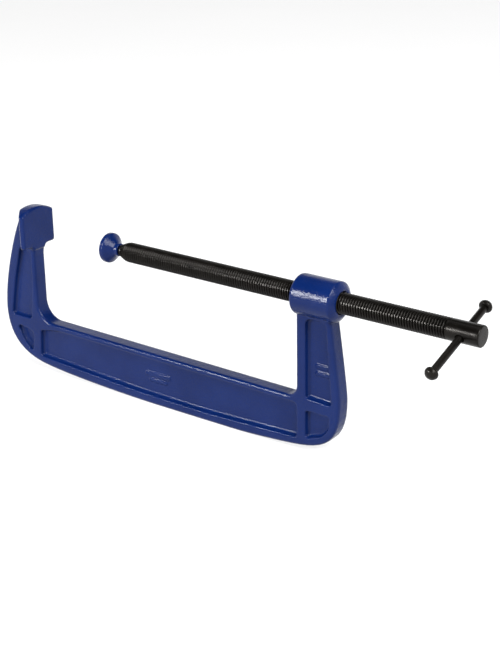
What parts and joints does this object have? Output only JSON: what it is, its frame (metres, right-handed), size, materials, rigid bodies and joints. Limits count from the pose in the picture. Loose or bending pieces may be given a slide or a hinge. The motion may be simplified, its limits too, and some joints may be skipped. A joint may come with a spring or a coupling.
{
  "type": "c clamp",
  "caption": "Cast C clamp (G clamp) with a ribbed frame, an anvil, a long fine-threaded screw, a ball-jointed swivel pad and a sliding tommy bar.",
  "frame": {"origin": "centre of the anvil's flat working face, where the screw's axis meets it", "axes": "+X along the screw's axis from the anvil towards the tommy bar, +Z from the spine towards the screw, Y across the casting, with the end of the tommy bar that is stored lower at -Y"},
  "size_m": [0.5407, 0.0964, 0.1725],
  "materials": {
    "blue_paint": "glossy blue enamel over a slightly rough casting",
    "black_steel": "oiled black oxide, satin",
    "spring_steel": "bare drawn wire"
  },
  "bodies": {
    "frame": {"frame": "blue_paint"},
    "pad_carrier": {"pad_retaining_ring": "spring_steel"},
    "screw": {"screw": "black_steel"},
    "bar": {"tommy_bar": "black_steel", "tommy_bar_knob_near": "black_steel", "tommy_bar_knob_far": "black_steel"},
    "pad": {"swivel_pad": "blue_paint"}
  },
  "joints": [
    {"name": "screw_travel", "type": "slide", "parent": "frame", "child": "pad_carrier", "axis": [1, 0, 0], "range_m": [-0.0898, 0.206]},
    {"name": "screw_turn", "type": "hinge", "parent": "pad_carrier", "child": "screw", "pos_m": [0.4, 0, 0], "axis": [1, 0, 0], "range_deg": [-12240, 28080]},
    {"name": "bar_slide", "type": "slide", "parent": "screw", "child": "bar", "axis": [0, 0.9489, 0.3156], "range_m": [-0.0243, 0.0431]},
    {"name": "pad_tilt", "type": "hinge", "parent": "pad_carrier", "child": "pad", "pos_m": [0.1013, 0, 0], "axis": [0, 1, 0], "range_deg": [-8, 8]}
  ],
  "couplings": [
    {"joint": "screw_travel", "follows": "screw_turn", "m_per_rad": 0.00042017}
  ]
}
